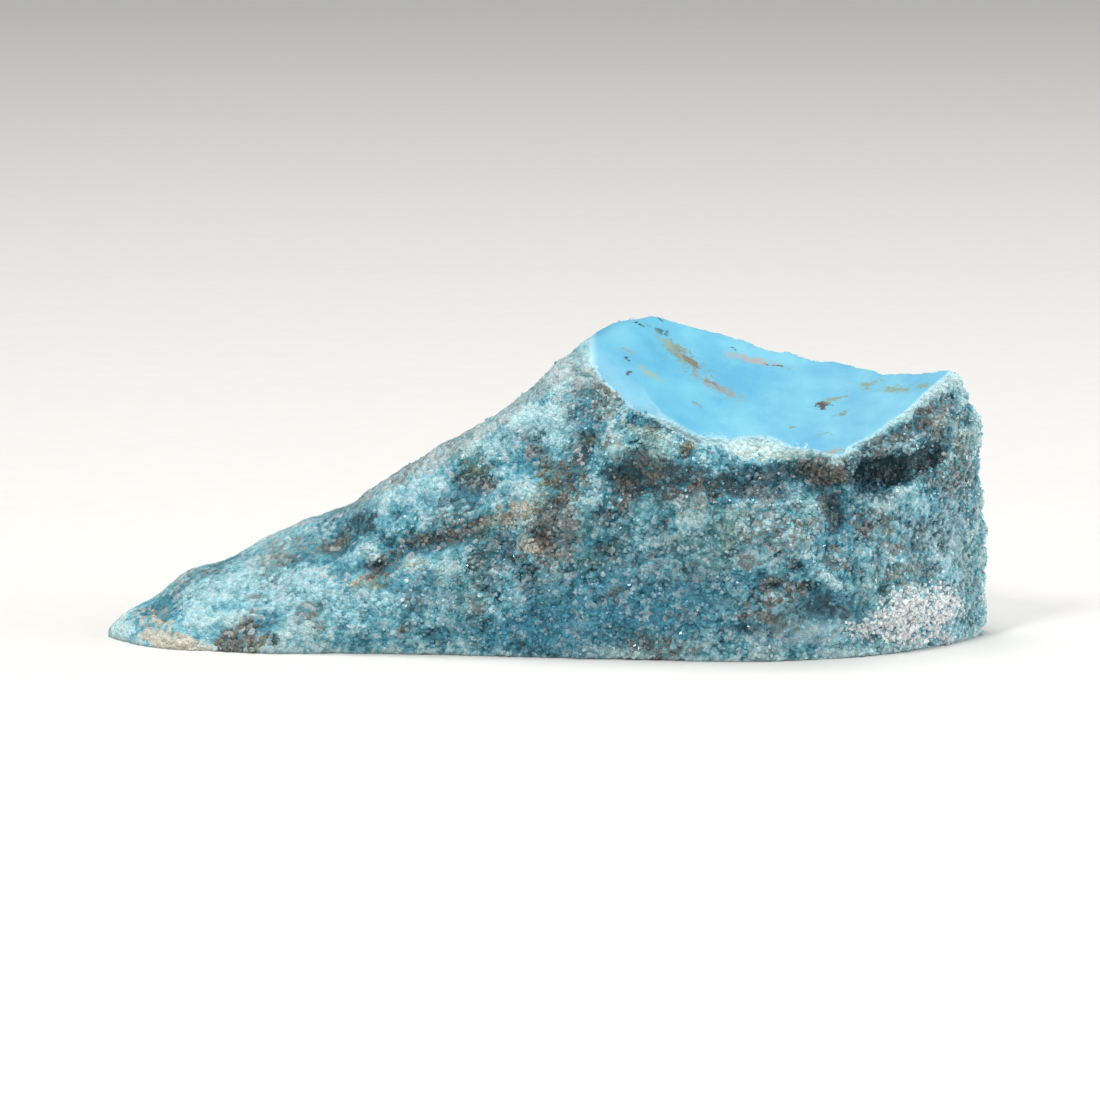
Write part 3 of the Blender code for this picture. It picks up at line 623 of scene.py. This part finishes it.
def grain_tree():
    """Node tree for loose-looking crystals seated in the skin: uneven little blocks, turned all ways."""
    tree, add = new_group(
        "crystal grains", "GeometryNodeTree",
        {"Geometry": "Geometry", "Grains to a square metre": "Float", "Smallest": "Float",
         "Largest": "Float", "Longest to shortest": "Float", "Seed": "Int", "Finish": "Material"},
        {"Geometry": "Geometry"})
    given = add("NodeGroupInput").outputs
    cover = add("GeometryNodeInputNamedAttribute", {"Name": "cover"})
    density = add(MATH, {0: cover, 1: given["Grains to a square metre"]}, operation="MULTIPLY")
    points = add("GeometryNodeDistributePointsOnFaces", {
        "Mesh": given["Geometry"], "Density": density, "Seed": given["Seed"]})
    tone = add(RANDOM, {"Seed": given["Seed"]})
    toned = add("GeometryNodeStoreNamedAttribute", {"Geometry": points, "Name": "tone", "Value": tone})
    slim = add(MATH, {0: 1.0, 1: given["Longest to shortest"]}, operation="DIVIDE")
    slim = add("ShaderNodeCombineXYZ", {0: slim, 1: slim, 2: slim})
    draws = {
        name: add(RANDOM, {0: low, 1: high, "Seed": seed}, data_type="FLOAT_VECTOR")
        for name, low, high, seed in (
            ("chip", (-GRAIN_CHIP,) * 3, (GRAIN_CHIP,) * 3, 11),
            ("spread", slim, (1.0,) * 3, 5),
            ("turn", (0.0,) * 3, (math.tau,) * 3, 7),
        )
    }
    block = add("GeometryNodeMeshCube", {"Size": (1.0,) * 3})
    block = add("GeometryNodeSetPosition", {"Geometry": block, "Offset": draws["chip"]})
    size = add(RANDOM, {2: given["Smallest"], 3: given["Largest"], "Seed": 3})
    scale = add(VECTOR, {0: draws["spread"], "Scale": size}, operation="SCALE")
    set_out = add("GeometryNodeInstanceOnPoints", {
        "Points": toned, "Instance": block, "Rotation": draws["turn"], "Scale": scale})
    real = add("GeometryNodeRealizeInstances", {"Geometry": set_out})
    flat = add("GeometryNodeSetShadeSmooth", {"Geometry": real, "Shade Smooth": False})
    done = add("GeometryNodeSetMaterial", {"Geometry": flat, "Material": given["Finish"]})
    add("NodeGroupOutput", {"Geometry": done})
    return tree


def lay_out_grains(mesh):
    """Gives each face of each grain a place of its own on the bake map."""
    corner = np.arange(len(mesh.loops))
    grain, face, corner = corner // (FACES * CORNERS), corner // CORNERS % FACES, corner % CORNERS
    across = math.ceil(math.sqrt(grain[-1] + 1))
    near, far = UV_EDGE, 1 - UV_EDGE
    u = grain % across + (face % 3 + np.where((corner == 1) | (corner == 2), far, near)) / 3
    v = grain // across + (face // 3 + np.where(corner > 1, far, near)) / 2
    mesh.uv_layers.new(name="OFBake").data.foreach_set("uv", (np.stack((u, v), axis=1) / across).ravel())


# ---------------------------------------------------------------- the finishes

# The clouds of the skin's colour and of the stone's face: width of their pattern in millimetres,
# detail and roughness.
SKIN_CLOUDS = {"broad": (5.0, 3.0, 0.55), "middle": (1.4, 4.0, 0.65), "fine": (0.35, 2.0, 0.7),
               "iron": (3.4, 2.0, 0.5)}
FACE_CLOUDS = {"fray": (0.6, 3.0, 0.5), "cloud": (4.0, 5.0, 0.6), "fleck": (0.8, 5.0, 0.75),
               "swirl": (0.7, 3.0, 0.5), "speck": (0.35, 4.0, 0.7), "rub": (0.5, 3.0, 0.5)}
GRAIN_WIDTH, GRIT_WIDTH, SPARKLE_WIDTH = 0.34, 0.14, 0.2  # the crust's patterns, in millimetres
# The skin's tone: where it starts, and what each cloud, crest and rise (in metres) adds to it. Crest
# and rise add painted light where the skin stands out and painted shade where it lies low.
TONE_START = -0.66
TONE_AND_SHADE_SHARES = {"broad": 1.0, "middle": 0.8, "fine": 0.5, "crest": 0.5, "rise": 1800.0}
# The skin's colour from dark to light, which also carries the painted shade of its hollows and the
# painted light of its crests.
SKIN_RAMP = ((0.06, "#0A404E"), (0.28, "#1E6D82"), (0.52, "#4C9AAE"), (0.74, "#80BFCD"), (0.95, "#BFE0E4"))
# What the stains, and the painted shade deep, leave: dark and light colour, softness of the edge,
# raggedness, strength.
STAIN_COLOURS = (
    ("pale", "#A6D9E3", "#C0E6EC", 0.45, 0.9, 0.8),
    ("blue", "#1A6A86", "#4096B0", 0.50, 1.1, 0.88),
    # deep is painted shade: near-black teal for the hollows and the low front
    ("deep", "#03222C", "#0F4A58", 0.50, 1.2, 0.97),
    ("grey", "#8C9A9C", "#B6C1C3", 0.45, 1.3, 0.7),
    ("brown", "#282A27", "#85857E", 0.35, 1.5, 0.78),
    ("olive", "#6F7054", "#94946C", 0.40, 1.3, 0.75),
    ("cream", "#B9AD94", "#DAD2C2", 0.30, 1.1, 0.85),
    ("soot", "#151713", "#75746C", 0.35, 1.5, 0.95),
    ("chalk", "#77858B", "#FFFFFF", 0.40, 2.4, 0.85),
    ("crust", "#9CCBC9", "#E4EEEA", 0.25, 1.0, 0.9),
    ("rim", "#A6D3DA", "#C4E6EB", 0.35, 1.2, 0.2),
)
# Clouds and single grains tear the stains' edges: the grains' share, and the tear that leaves an edge.
TORN_GRAINS = 0.6
TORN_EVEN = 1.3


def skin_colour_group():
    """The colour of broken turquoise, shared by the skin and its grains.

    Turquoise is a copper and aluminium phosphate: strong sky blue where it is dense, paler where it is
    chalky, greener where iron has come in, and cut by brown, olive and black veins of its mother rock.
    """
    tree, add = new_group(BODY_COLOUR, "ShaderNodeTree", {}, {"Colour": "Color", "Grain": "Float"})
    coords = add("ShaderNodeTexCoord").outputs["Object"]
    part = {
        name: add(NOISE, {
            "Vector": coords, "Scale": over_mm(width), "Detail": detail, "Roughness": roughness})
        for name, (width, detail, roughness) in SKIN_CLOUDS.items()
    }
    for name in ("crest", "rise", "deep"):
        part[name] = add("ShaderNodeAttribute", attribute_name=name).outputs["Fac"]
    grain = add(CELLS, {"Vector": coords, "Scale": over_mm(GRAIN_WIDTH)})
    chance = add("ShaderNodeSeparateColor", {0: grain.outputs["Color"]})
    # painted light and shade: crest and rise lighten the skin where it stands out and darken it where it
    # lies low, on top of its clouds
    tone = TONE_START
    for name, share in TONE_AND_SHADE_SHARES.items():
        tone = add(MATH, {0: part[name], 1: share, 2: tone}, operation="MULTIPLY_ADD")
    ramp = add("ShaderNodeValToRGB", {0: tone})
    stops = ramp.color_ramp.elements
    (stops[0].position, low), (stops[1].position, high) = SKIN_RAMP[0], SKIN_RAMP[-1]
    stops[0].color, stops[1].color = colour(low), colour(high)
    for position, code in SKIN_RAMP[1:-1]:
        stops.new(position).color = colour(code)
    green = add(RANGE, {"Value": part["iron"], "From Min": 0.5, "From Max": 0.75, "To Max": 0.5}, **SMOOTH)
    body = add(MIX, {0: green, 6: ramp, 7: colour("#6DA39B")}, data_type="RGBA")
    torn = add(MATH, {0: part["middle"], 1: part["fine"]}, operation="ADD")
    torn = add(MATH, {0: chance.outputs[2], 1: TORN_GRAINS, 2: torn}, operation="MULTIPLY_ADD")
    spot = add(RANGE, {"Value": part["fine"], "From Min": 0.35, "From Max": 0.65})
    for name, dark, light, softness, ragged, strength in STAIN_COLOURS:
        mask = add("ShaderNodeAttribute", attribute_name=name).outputs["Fac"]
        edge = add(MATH, {0: mask, 1: TORN_EVEN * ragged}, operation="SUBTRACT")
        edge = add(MATH, {0: torn, 1: ragged, 2: edge}, operation="MULTIPLY_ADD")
        edge = add(RANGE, {"Value": edge, "From Min": 0.5 - softness, "From Max": 0.5 + softness}, **SMOOTH)
        near = add(RANGE, {"Value": mask, "From Max": 0.3, "To Max": strength})
        over = add(MATH, {0: edge, 1: near}, operation="MULTIPLY")
        own = add(MIX, {0: spot, 6: colour(dark), 7: colour(light)}, data_type="RGBA")
        body = add(MIX, {0: over, 6: body, 7: own}, data_type="RGBA")
    # single grains are lighter or darker than their neighbours, and a few are painted near white, partly
    # frosted crystals and partly painted glints, kept out of the painted shade deep
    dull = add(RANGE, {"Value": chance.outputs[0], "To Min": 0.82, "To Max": 1.15})
    dull = add("ShaderNodeCombineColor", {0: dull, 1: dull, 2: dull})
    body = add(MIX, {0: 1.0, 6: body, 7: dull}, data_type="RGBA", blend_type="MULTIPLY")
    clear = add(RANGE, {"Value": part["deep"], "From Min": 0.5, "From Max": 0.1, "To Max": 0.4})
    frost_and_glint = add(RANGE, {"Value": chance.outputs[1], "From Min": 0.8, "From Max": 0.95})
    frost_and_glint = add(MATH, {0: frost_and_glint, 1: clear}, operation="MULTIPLY")
    body = add(MIX, {0: frost_and_glint, 6: body, 7: colour("#DCE6E6")}, data_type="RGBA")
    add("NodeGroupOutput", {"Colour": body, "Grain": grain})
    return tree


# What the grinding has cut through, seen from above: place from the tip and the front edge, half-width,
# half-depth, turn in degrees, colour, strength, and 1 for a crisp edge down to 0 for a soft one. These
# veins and pockets go down through the face, from this height and this far, in millimetres.
MARK_HEIGHT, MARK_REACH = 16, 20
FACE_MARKS = (
    (36.35, 11.1, 0.3, 0.22, 0, "#33302C", 1, 1), (37.9, 12.9, 0.18, 0.14, 0, "#3B3A36", 0.9, 1),
    (37.9, 11.6, 0.55, 0.32, 0, "#1D6F86", 1, 0), (39.2, 9.9, 1.7, 0.75, -42, "#7E8A72", 0.9, 0),
    (39.9, 9.5, 0.8, 0.4, -42, "#736A58", 0.85, 0), (38.3, 10.5, 0.5, 0.3, -42, "#8FA08C", 0.8, 0),
    (35.6, 7.3, 0.22, 0.16, 0, "#2F2E2B", 1, 1), (35.7, 5.9, 0.22, 0.15, 0, "#3A3835", 1, 1),
    (35.5, 8.05, 0.6, 0.14, -20, "#8B8F86", 0.7, 0), (36.9, 6.4, 0.8, 0.3, -15, "#93A89A", 0.8, 0),
    (41.7, 7.4, 1.5, 0.5, -24, "#8C8F85", 0.85, 0), (41.2, 7.7, 0.7, 0.25, -24, "#6F7168", 0.7, 0),
    (44.2, 11.2, 1.6, 0.32, -8, "#A59C98", 0.9, 0), (45.6, 10.95, 0.6, 0.12, -8, "#3B3835", 1, 1),
    (42.9, 12.2, 0.22, 0.16, 0, "#4A4742", 0.9, 1), (35.6, 2.9, 0.5, 0.35, -30, "#B08A58", 0.6, 0),
    (48.6, 6.6, 0.42, 0.36, 0, "#3E332F", 1, 1), (49.3, 7.2, 0.8, 0.2, 30, "#7F8468", 0.8, 0),
    (51.8, 8.3, 0.7, 0.3, 10, "#7E8C6E", 0.8, 0), (53.6, 7.2, 0.9, 0.4, -20, "#7D8A68", 0.8, 0),
    (55.4, 6.6, 0.5, 0.25, -10, "#7D8A68", 0.75, 0), (49.8, 5.6, 0.5, 0.2, 15, "#6E7A66", 0.8, 0),
    (46.7, 4.3, 0.35, 0.15, 0, "#74806B", 0.8, 0), (48.7, 3.6, 0.35, 0.15, 0, "#74806B", 0.7, 0),
    (40, 5, 0.35, 0.15, 0, "#74806B", 0.6, 0), (49.2, 1.6, 0.7, 0.35, 10, "#9C8052", 0.6, 0),
)
# Bruises along the face's front rim: place from the tip, the front edge and the flat, half-sizes,
# colour, strength.
RIM_BRUISES = (
    ((44.0, 1.2, 14.9), (1.7, 1.1, 1.0), "#B9DCE0", 0.8),
    ((46.3, 1.2, 14.6), (1.4, 1.0, 0.9), "#C2E2E6", 0.8),
    ((41.6, 1.8, 15.4), (0.9, 0.6, 0.5), "#A9D6DE", 0.5),
)
# How far specks break the marks up, and the reach at which a soft mark ends and is full; a crisp one
# ends this much nearer and is full this much farther out.
MARK_SPECKS = 4.5
MARK_EDGE = (3.65, 2.65)
MARK_CRISP = (0.3, 0.2)
FRAY_REACH = 0.1  # how far the face's edge wanders, in millimetres
FACE_EDGE = (0.27, 0.17)  # how far off its drum the face ends and is full, in millimetres
SWIRL_REACH = 1.2  # how far the marks are bent, in millimetres
RIM_LINE = 2.6


def nugget_material(body_group):
    """Raw turquoise, broken and left rough, with one face ground smooth but not polished.

    The broken skin is sugary: a close crust of fine crystals, dull with glassy points. The ground face
    shows the stone's true sky blue with a satin gloss, and every vein and pocket the wheel cut through.
    """
    material, add = new_finish("raw turquoise, broken and ground")
    coords = add("ShaderNodeTexCoord").outputs["Object"]
    body = add("ShaderNodeGroup", node_tree=body_group)
    part = {
        name: add(NOISE, {
            "Vector": coords, "Scale": over_mm(width), "Detail": detail, "Roughness": roughness})
        for name, (width, detail, roughness) in FACE_CLOUDS.items()
    }
    # the ground face: near its drum, and facing it, or on the rolled end
    own = add("ShaderNodeMapping", {
        "Vector": coords, "Location": tuple(drum_axis()[0]),
        "Rotation": (DRUM_LEAN - math.pi / 2, 0.0, 0.0)}, vector_type="TEXTURE")
    reach = add(VECTOR, {0: own, 1: (1.0, 1.0, 0.0)}, operation="MULTIPLY")
    reach = add(VECTOR, {0: reach}, operation="LENGTH")
    off = add(MATH, {0: reach, 1: DRUM_RADIUS * MM}, operation="SUBTRACT")
    off = add(MATH, {0: off}, operation="ABSOLUTE")
    off = add(MATH, {0: part["fray"], 1: FRAY_REACH * MM, 2: off}, operation="MULTIPLY_ADD")
    drum = add(RANGE, {
        "Value": off, "From Min": FACE_EDGE[0] * MM, "From Max": FACE_EDGE[1] * MM},
        **SMOOTH)
    facing = add("ShaderNodeAttribute", attribute_name="ground").outputs["Fac"]
    drum = add(MATH, {0: drum, 1: facing}, operation="MULTIPLY")
    rolled = add("ShaderNodeAttribute", attribute_name="rolled").outputs["Fac"]
    # painted shade: the rolled end is painted a little darker, to offset the key lamp's highlight there
    painted_roll_shade = add(RANGE, {"Value": rolled, "To Max": 0.22}, **SMOOTH)
    rolled = add(RANGE, {"Value": rolled, "From Min": 0.4, "From Max": 0.6}, **SMOOTH)
    ground = add(MATH, {0: drum, 1: rolled}, operation="MAXIMUM")
    # its colour: dense sky blue with faint milky clouds, and painted shade where it rolls over
    cloud = add(RANGE, {"Value": part["cloud"], "From Min": 0.35, "From Max": 0.7})
    face = add(MIX, {0: cloud, 6: colour("#55A6C8"), 7: colour("#78C2D6")}, data_type="RGBA")
    milk = add(RANGE, {"Value": part["fleck"], "From Min": 0.62, "From Max": 0.72, "To Max": 0.3})
    for share, code in ((painted_roll_shade, "#3F9CC0"), (milk, "#B6E2EA")):
        face = add(MIX, {0: share, 6: face, 7: colour(code)}, data_type="RGBA")
    swirl = add(VECTOR, {0: part["swirl"].outputs["Color"], 1: (0.5, 0.5, 0.5)}, operation="SUBTRACT")
    swirl = add(VECTOR, {0: swirl, "Scale": SWIRL_REACH * MM}, operation="SCALE")
    bent = add(VECTOR, {0: coords, 1: swirl}, operation="ADD")
    marks = [((x, y, MARK_HEIGHT), (wide, deep, MARK_REACH), turn, code, strength, crisp)
             for x, y, wide, deep, turn, code, strength, crisp in FACE_MARKS]
    marks += [(place, half, 0, code, strength, 1) for place, half, code, strength in RIM_BRUISES]
    for place, half, turn, code, strength, crisp in marks:
        own = add("ShaderNodeMapping", {
            "Vector": bent, "Location": tuple(from_tip(*place)),
            "Rotation": (0.0, 0.0, math.radians(turn)), "Scale": tuple(s * MM for s in half)},
            vector_type="TEXTURE")
        reach = add(VECTOR, {0: own}, operation="LENGTH")
        reach = add(MATH, {0: part["speck"], 1: MARK_SPECKS, 2: reach}, operation="MULTIPLY_ADD")
        mark = add(RANGE, {
            "Value": reach, "From Min": MARK_EDGE[0] - MARK_CRISP[0] * crisp,
            "From Max": MARK_EDGE[1] + MARK_CRISP[1] * crisp, "To Max": strength},
            **SMOOTH)
        face = add(MIX, {0: mark, 6: face, 7: colour(code)}, data_type="RGBA")
    paint = add(MIX, {0: ground, 6: body, 7: face}, data_type="RGBA")
    # the face's sharp rim is bruised to a thin pale line
    line = add(MATH, {0: facing, 1: -RIM_LINE, 2: RIM_LINE}, operation="MULTIPLY_ADD")
    line = add(MATH, {0: line, 1: facing}, operation="MULTIPLY")
    paint = add(MIX, {0: line, 6: paint, 7: colour("#B9E2EA")}, data_type="RGBA")
    # height in shares of the bump's distance: the crust's grains and grit, and the face's faint rubbing
    grit = add(CELLS, {"Vector": coords, "Scale": over_mm(GRIT_WIDTH)})
    crust = add(MATH, {0: grit, 1: -0.45, 2: 0.7}, operation="MULTIPLY_ADD")
    crust = add(MATH, {0: crust, 1: body.outputs["Grain"]}, operation="SUBTRACT")
    rub = add(MATH, {0: part["rub"], 1: 0.06}, operation="MULTIPLY")
    height = add(MIX, {0: ground, 2: crust, 3: rub})
    bump = add("ShaderNodeBump", {"Strength": 0.9, "Distance": 0.00022, "Height": height})
    # the crust's crystals are dull or glassy, each in its own way
    sparkle = add(CELLS, {"Vector": coords, "Scale": over_mm(SPARKLE_WIDTH)})
    chance = add("ShaderNodeSeparateColor", {0: sparkle.outputs["Color"]})
    rough = add(RANGE, {"Value": chance, "To Min": 0.28, "To Max": 0.75})
    rough = add(MIX, {0: ground, 2: rough, 3: 0.5})
    shader = add("ShaderNodeBsdfPrincipled", {
        "Base Color": paint, "Roughness": rough, "IOR": 1.62, "Normal": bump,
        "Subsurface Weight": 0.12, "Subsurface Radius": (0.4, 0.8, 1.0), "Subsurface Scale": 0.0006})
    add("ShaderNodeOutputMaterial", {"Surface": shader})
    return material


def grain_material(name, body_group, code, share, rough):
    """Glassy crystals of the sugary crust: the stone's colour with a share of their own."""
    material, add = new_finish(name)
    body = add("ShaderNodeGroup", node_tree=body_group)
    tone = add("ShaderNodeAttribute", attribute_name="tone").outputs["Fac"]
    own, gloss = (add(RANGE, {"Value": tone, "To Min": low, "To Max": high})
                  for low, high in (share, rough))
    paint = add(MIX, {0: own, 6: body, 7: colour(code)}, data_type="RGBA")
    shader = add("ShaderNodeBsdfPrincipled", {
        "Base Color": paint, "Roughness": gloss, "IOR": 1.55,
        "Subsurface Weight": 0.15, "Subsurface Radius": (0.6, 0.9, 1.0), "Subsurface Scale": 0.0004})
    add("ShaderNodeOutputMaterial", {"Surface": shader})
    return material


def floor_material():
    """Matt pale card, rolled smooth: even and soft, without gloss."""
    material, add = new_finish("matt pale card")
    coords = add("ShaderNodeTexCoord").outputs["Object"]
    fibre = add(NOISE, {"Vector": coords, "Scale": over_mm(2.0), "Detail": 3.0})
    paint = add(MIX, {0: fibre, 6: colour("#E3E2DF"), 7: colour("#E8E7E4")}, data_type="RGBA")
    shader = add("ShaderNodeBsdfPrincipled", {"Base Color": paint, "Roughness": 0.9, "IOR": 1.45})
    add("ShaderNodeOutputMaterial", {"Surface": shader})
    return material


# ---------------------------------------------------------------- sizes and numbers a user may change

Length = partial(FloatProperty, unit="LENGTH")
Power = partial(FloatProperty, unit="POWER")


class NuggetSizes(bpy.types.PropertyGroup):
    """Sizes of the fine stone's relief."""

    quad: Length(name="Quad", description="Width of the fine mesh's quads", default=0.00021)
    rounds: IntProperty(name="Rounds", description="Rounds of smoothing over the skin's facets", default=14)
    lump_width: Length(name="Lump width", description="Width of the skin's small lumps", default=0.0014)
    lump_height: Length(name="Lump height", description="Height of the skin's small lumps", default=0.00042)
    grain_width: Length(name="Grain width", description="Width of the skin's own grains", default=0.00044)
    grain_height: Length(name="Grain height", description="Height of the skin's own grains", default=0.00015)
    pit_width: Length(name="Pit spacing", description="Spacing of the small pits", default=0.0019)
    pit_depth: Length(name="Pit depth", description="Depth of the small pits", default=0.00034)


class GrainSizes(bpy.types.PropertyGroup):
    """Sizes and places of the crystal grains."""

    smallest: Length(name="Smallest", description="Width of the smallest grain", default=0.00010)
    largest: Length(name="Largest", description="Width of the largest grain", default=0.00027)
    slimness: FloatProperty(name="Longest to shortest", description="A long grain's widths", default=1.6)
    seed: IntProperty(name="Seed", description="Places the grains differently", default=4)


class StageLight(bpy.types.PropertyGroup):
    """The studio's lamps."""

    top: Power(name="Top lamp", description="Power of the soft lamp overhead", default=1.6)
    key: Power(name="Key lamp", description="Power of the small soft lamp at the upper left", default=0.9)
    side: Power(name="Side lamp", description="Power of the soft lamp at the right", default=1.0)
    fill: Power(name="Front fill", description="Power of the soft lamp at the front", default=0.2)
    sky: FloatProperty(name="Room light", description="Strength of the even light all round", default=0.2)


# The lamps: name, whose power it has, place in metres, width and height, and tint.
LAMPS = (
    ("top lamp", "top", (-0.05, -0.02, 0.45), (0.32, 0.24), (1.0, 0.985, 0.96)),
    ("key lamp", "key", (-0.20, -0.26, 0.38), (0.09, 0.09), (1.0, 0.99, 0.97)),
    ("front fill", "fill", (0.10, -0.55, 0.30), (0.35, 0.30), (0.98, 0.99, 1.0)),
    ("side lamp", "side", (0.40, -0.04, 0.16), (0.20, 0.20), (1.0, 1.0, 1.0)),
)
ROOM_TINT = (0.93, 0.95, 1.0, 1.0)
FLOOR_HALF = 3.0  # half the floor's width, in metres
FLOOR_DROP = 0.00002  # and how far it lies under the flat
SENSOR_WIDTH = 36.0


# ---------------------------------------------------------------- the makers


def finish_piece(piece):
    """Seats a new piece in the frame: it moves with the stone."""
    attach(piece, BODY)


class OBJECT_OT_turquoise_nugget(bpy.types.Operator):
    """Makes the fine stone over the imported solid"""

    bl_idname = "object.turquoise_nugget_stone"
    bl_label = "Fine stone"

    def execute(self, context):
        sizes = context.scene.nugget_sizes
        mesh = dressed_copy(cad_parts[NODE], sizes.quad)
        edges, count = smooth_skin(mesh, sizes.rounds)
        points = mesh_points(mesh)
        lift(points, mesh_normals(mesh), SWELLINGS)
        set_points(mesh, points)
        normals = mesh_normals(mesh)
        masks = stone_masks(points, normals)
        lift(points, normals, DIMPLES, masks["skin"])
        set_points(mesh, points)
        # a crest stands out of the stone's general shape, over about 2 mm
        broad = points.copy()
        for _ in range(BROAD_ROUNDS):
            broad = neighbours_mean(broad, edges, count)
        stand = ((points - broad) * normals).sum(axis=1) / MM
        masks["crest"] = np.clip(stand / FULL_CREST, -1, 1)
        for name, mask in masks.items():
            keep(mesh, name, mask)
        relief = {label: getattr(sizes, label.lower().replace(" ", "_")) for label in RELIEF_SIZES}
        finish = nugget_material(skin_colour_group())
        stone = run_tree(mesh, STONE, relief_tree(), {**relief, "Finish": finish})
        stand_on_flat(stone.data)
        lay_out_stone(stone.data, broad)
        stone.data.shade_smooth()
        finish_piece(stone)
        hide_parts(NODE)
        return {"FINISHED"}


class OBJECT_OT_crystal_grains(bpy.types.Operator):
    """Sows the crystal grains of the sugary crust over the fine stone"""

    bl_idname = "object.turquoise_nugget_grains"
    bl_label = "Crystal grains"

    def execute(self, context):
        sizes = context.scene.grain_sizes
        stone = bpy.data.objects[STONE].data
        group = bpy.data.node_groups[BODY_COLOUR]
        tree = grain_tree()
        skin = fade(kept(stone, "skin"), "grains on the skin")
        low = fade(mesh_points(stone)[:, 2] / MM, "grains off the flat")
        for order, (name, finish, code, share, rough, density, adds, elsewhere) in enumerate(GRAINS):
            cover = np.full(len(stone.vertices), elsewhere)
            for stain, amount in adds.items():
                cover += amount * kept(stone, stain)
            cover *= 1 + CREST_COVER * kept(stone, "crest")
            bed = stone.copy()
            keep(bed, "cover", np.clip(cover, 0, MOST_COVER) * skin * low)
            grains = run_tree(bed, name, tree, {
                "Grains to a square metre": density, "Smallest": sizes.smallest,
                "Largest": sizes.largest, "Longest to shortest": sizes.slimness,
                "Seed": sizes.seed + order, "Finish": grain_material(finish, group, code, share, rough)})
            bpy.data.meshes.remove(bed)
            triangles = 2 * len(grains.data.polygons)
            if triangles >= MOST_TRIANGLES:
                raise RuntimeError(f"{name} has {triangles} triangles")
            stand_on_flat(grains.data)
            lay_out_grains(grains.data)
            finish_piece(grains)
        return {"FINISHED"}


class OBJECT_OT_stage(bpy.types.Operator):
    """Sets up the floor, the lamps and the camera"""

    bl_idname = "object.turquoise_nugget_stage"
    bl_label = "Stage"

    def execute(self, context):
        powers = context.scene.stage_light
        scene = context.scene
        mesh = bpy.data.meshes.new("floor")
        corners = [(x * FLOOR_HALF, y * FLOOR_HALF, -FLOOR_DROP)
                   for x, y in ((-1, -1), (1, -1), (1, 1), (-1, 1))]
        mesh.from_pydata(corners, [], [(0, 1, 2, 3)])
        mesh.materials.append(floor_material())
        floor = bpy.data.objects.new("floor", mesh)
        scene.collection.objects.link(floor)
        aim = from_tip(*VIEW_AIM)
        for name, whose, place, spread, tint in LAMPS:
            data = bpy.data.lights.new(name, "AREA")
            data.shape = "RECTANGLE"
            data.size, data.size_y = spread
            data.energy, data.color = getattr(powers, whose), tint
            lamp = bpy.data.objects.new(name, data)
            lamp.location = place
            lamp.rotation_euler = (aim - Vector(place)).to_track_quat("-Z", "Y").to_euler()
            scene.collection.objects.link(lamp)
        world = bpy.data.worlds.new("room")
        world.use_nodes = True
        back = world.node_tree.nodes["Background"].inputs
        back["Color"].default_value = ROOM_TINT
        back["Strength"].default_value = powers.sky
        scene.world = world
        scene.view_settings.view_transform = "Standard"
        data = bpy.data.cameras.new("camera")
        data.sensor_width = SENSOR_WIDTH
        data.lens = SENSOR_WIDTH * VIEW_DISTANCE / VIEW_WIDTH
        data.clip_start = 0.01
        camera = bpy.data.objects.new("camera", data)
        camera.location = aim - Vector(VIEW_AHEAD) * VIEW_DISTANCE
        camera.rotation_euler = (math.pi / 2 - VIEW_ELEVATION, 0.0, 0.0)
        scene.collection.objects.link(camera)
        scene.camera = camera
        return {"FINISHED"}


class VIEW3D_PT_turquoise_nugget(bpy.types.Panel):
    """Lists the makers and their sizes in the sidebar"""

    bl_idname = "VIEW3D_PT_turquoise_nugget"
    bl_label = "Turquoise nugget"
    bl_space_type = "VIEW_3D"
    bl_region_type = "UI"
    bl_category = "Turquoise"

    def draw(self, context):
        for maker, group in (
            (OBJECT_OT_turquoise_nugget, context.scene.nugget_sizes),
            (OBJECT_OT_crystal_grains, context.scene.grain_sizes),
            (OBJECT_OT_stage, context.scene.stage_light),
        ):
            box = self.layout.box()
            box.operator(maker.bl_idname)
            for name in group.__annotations__:
                box.prop(group, name)


CLASSES = (
    NuggetSizes, GrainSizes, StageLight, OBJECT_OT_turquoise_nugget, OBJECT_OT_crystal_grains,
    OBJECT_OT_stage, VIEW3D_PT_turquoise_nugget,
)


def register():
    """Makes the classes known to Blender and gives each scene its sizes."""
    for kind in CLASSES:
        bpy.utils.register_class(kind)
    bpy.types.Scene.nugget_sizes = PointerProperty(type=NuggetSizes)
    bpy.types.Scene.grain_sizes = PointerProperty(type=GrainSizes)
    bpy.types.Scene.stage_light = PointerProperty(type=StageLight)


def unregister():
    """Takes back what register has done."""
    del bpy.types.Scene.stage_light
    del bpy.types.Scene.grain_sizes
    del bpy.types.Scene.nugget_sizes
    for kind in reversed(CLASSES):
        bpy.utils.unregister_class(kind)


def main():
    """Makes the nugget and its stage."""
    register()
    bpy.ops.object.turquoise_nugget_stone()
    bpy.ops.object.turquoise_nugget_grains()
    bpy.ops.object.turquoise_nugget_stage()


if __name__ == "__main__":
    main()
